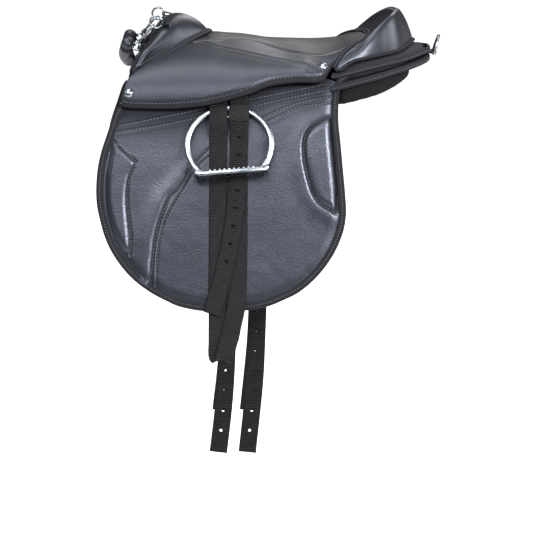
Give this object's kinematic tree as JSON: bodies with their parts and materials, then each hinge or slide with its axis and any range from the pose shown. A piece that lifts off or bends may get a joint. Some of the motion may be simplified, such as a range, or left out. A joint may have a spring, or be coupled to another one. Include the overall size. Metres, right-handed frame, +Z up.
{
  "type": "bareback pad",
  "caption": "Child's bareback pad for a small pony: cushioned seat between pommel and cantle rolls, hinged leather flaps, webbing girth straps, grab handle and run-up stirrups.",
  "frame": {"origin": "in the spine channel under the middle of the seat, at the height where the pad's arch meets the horse", "axes": "+X to the horse's tail, +Y to the horse's right (off) side, +Z up; the near side is -Y"},
  "size_m": [0.4818, 0.5174, 0.617],
  "materials": {
    "synthetic_leather": "soft pebbled synthetic leather, satin",
    "seat_leather": "smooth synthetic leather, satin",
    "binding_tape": "woven edge tape",
    "webbing": "ribbed woven webbing",
    "mesh_fabric": "soft spacer mesh",
    "foam": "closed-cell foam",
    "polished_metal": "polished nickel plate"
  },
  "bodies": {
    "saddle": {"base_pad": "mesh_fabric", "seat_foam": "foam", "seat_cover": "seat_leather", "cantle_base": "foam", "pommel_roll": "synthetic_leather", "cantle_roll": "synthetic_leather", "cantle_tape_low": "binding_tape", "cantle_tape_high": "binding_tape", "crupper_tab": "webbing", "near_under_panel": "mesh_fabric", "near_skirt": "synthetic_leather", "near_skirt_binding": "binding_tape", "near_flap_head": "synthetic_leather", "near_stirrup_bar": "polished_metal", "near_leather_top": "webbing", "near_buckle": "polished_metal", "near_ring_tab": "webbing", "near_front_stud": "polished_metal", "near_rear_stud": "polished_metal", "off_under_panel": "mesh_fabric", "off_skirt": "synthetic_leather", "off_skirt_binding": "binding_tape", "off_flap_head": "synthetic_leather", "off_stirrup_bar": "polished_metal", "off_leather_top": "webbing", "off_buckle": "polished_metal", "off_ring_tab": "webbing", "off_front_stud": "polished_metal", "off_rear_stud": "polished_metal"},
    "near_flap": {"near_flap": "synthetic_leather", "near_flap_binding": "binding_tape", "near_knee_pad": "synthetic_leather", "near_thigh_pad": "synthetic_leather"},
    "near_leather": {"near_leather_loop": "webbing", "near_leather_tail": "webbing", "near_keeper": "webbing"},
    "near_iron": {"near_stirrup_iron": "polished_metal"},
    "near_front_girth": {"near_front_girth_strap": "webbing"},
    "near_rear_girth": {"near_rear_girth_strap": "webbing"},
    "off_flap": {"off_flap": "synthetic_leather", "off_flap_binding": "binding_tape", "off_knee_pad": "synthetic_leather", "off_thigh_pad": "synthetic_leather"},
    "off_leather": {"off_leather_loop": "webbing", "off_leather_tail": "webbing", "off_keeper": "webbing"},
    "off_iron": {"off_stirrup_iron": "polished_metal"},
    "off_front_girth": {"off_front_girth_strap": "webbing"},
    "off_rear_girth": {"off_rear_girth_strap": "webbing"},
    "grab_handle": {"grab_strap": "webbing", "near_ring": "polished_metal", "near_snap_body": "polished_metal", "near_snap_eye": "polished_metal", "off_ring": "polished_metal", "off_snap_body": "polished_metal", "off_snap_eye": "polished_metal"},
    "near_gate": {"near_snap_gate": "polished_metal"},
    "off_gate": {"off_snap_gate": "polished_metal"},
    "crupper_dee": {"crupper_dee": "polished_metal"}
  },
  "joints": [
    {"name": "near_flap_fold", "type": "hinge", "parent": "saddle", "child": "near_flap", "pos_m": [-0.046, -0.13924, -0.02637], "axis": [-0.9795, -0.0655, -0.1903], "range_deg": [0, 35]},
    {"name": "near_leather_swing", "type": "hinge", "parent": "near_flap", "child": "near_leather", "pos_m": [-0.046, -0.13924, -0.02637], "axis": [-0.9795, -0.0655, -0.1903], "range_deg": [0, 25]},
    {"name": "near_iron_swing", "type": "hinge", "parent": "near_leather", "child": "near_iron", "pos_m": [-0.0488, -0.13692, -0.03832], "axis": [-0.9962, -0.0396, -0.0777], "range_deg": [0, 5]},
    {"name": "near_front_girth_swing", "type": "hinge", "parent": "saddle", "child": "near_front_girth", "pos_m": [-0.042, -0.12121, -0.02951], "axis": [-1, 0, 0], "range_deg": [-13, 15]},
    {"name": "near_rear_girth_swing", "type": "hinge", "parent": "saddle", "child": "near_rear_girth", "pos_m": [0, -0.12121, -0.02951], "axis": [-1, 0, 0], "range_deg": [-13, 15]},
    {"name": "off_flap_fold", "type": "hinge", "parent": "saddle", "child": "off_flap", "pos_m": [-0.046, 0.13924, -0.02637], "axis": [0.9795, -0.0655, 0.1903], "range_deg": [0, 35]},
    {"name": "off_leather_swing", "type": "hinge", "parent": "off_flap", "child": "off_leather", "pos_m": [-0.046, 0.13924, -0.02637], "axis": [0.9795, -0.0655, 0.1903], "range_deg": [0, 25]},
    {"name": "off_iron_swing", "type": "hinge", "parent": "off_leather", "child": "off_iron", "pos_m": [-0.0488, 0.13692, -0.03832], "axis": [0.9962, -0.0396, 0.0777], "range_deg": [0, 5]},
    {"name": "off_front_girth_swing", "type": "hinge", "parent": "saddle", "child": "off_front_girth", "pos_m": [-0.042, 0.12121, -0.02951], "axis": [1, 0, 0], "range_deg": [-13, 15]},
    {"name": "off_rear_girth_swing", "type": "hinge", "parent": "saddle", "child": "off_rear_girth", "pos_m": [0, 0.12121, -0.02951], "axis": [1, 0, 0], "range_deg": [-13, 15]},
    {"name": "grab_handle_lift", "type": "hinge", "parent": "saddle", "child": "grab_handle", "pos_m": [-0.1485, 0, 0.0776], "axis": [0, 1, 0], "range_deg": [0, 75]},
    {"name": "near_gate_open", "type": "hinge", "parent": "grab_handle", "child": "near_gate", "pos_m": [-0.16574, -0.0546, 0.05631], "axis": [-0.7771, 0, 0.6293], "range_deg": [0, 25], "stiffness_Nm_per_rad": 0.002, "springref_deg": -20.05},
    {"name": "off_gate_open", "type": "hinge", "parent": "grab_handle", "child": "off_gate", "pos_m": [-0.16574, 0.0546, 0.05631], "axis": [0.7771, 0, -0.6293], "range_deg": [0, 25], "stiffness_Nm_per_rad": 0.002, "springref_deg": -20.05},
    {"name": "crupper_dee_swing", "type": "hinge", "parent": "saddle", "child": "crupper_dee", "pos_m": [0.2438, 0, 0.0295], "axis": [0, 1, 0], "range_deg": [-15, 120]}
  ]
}
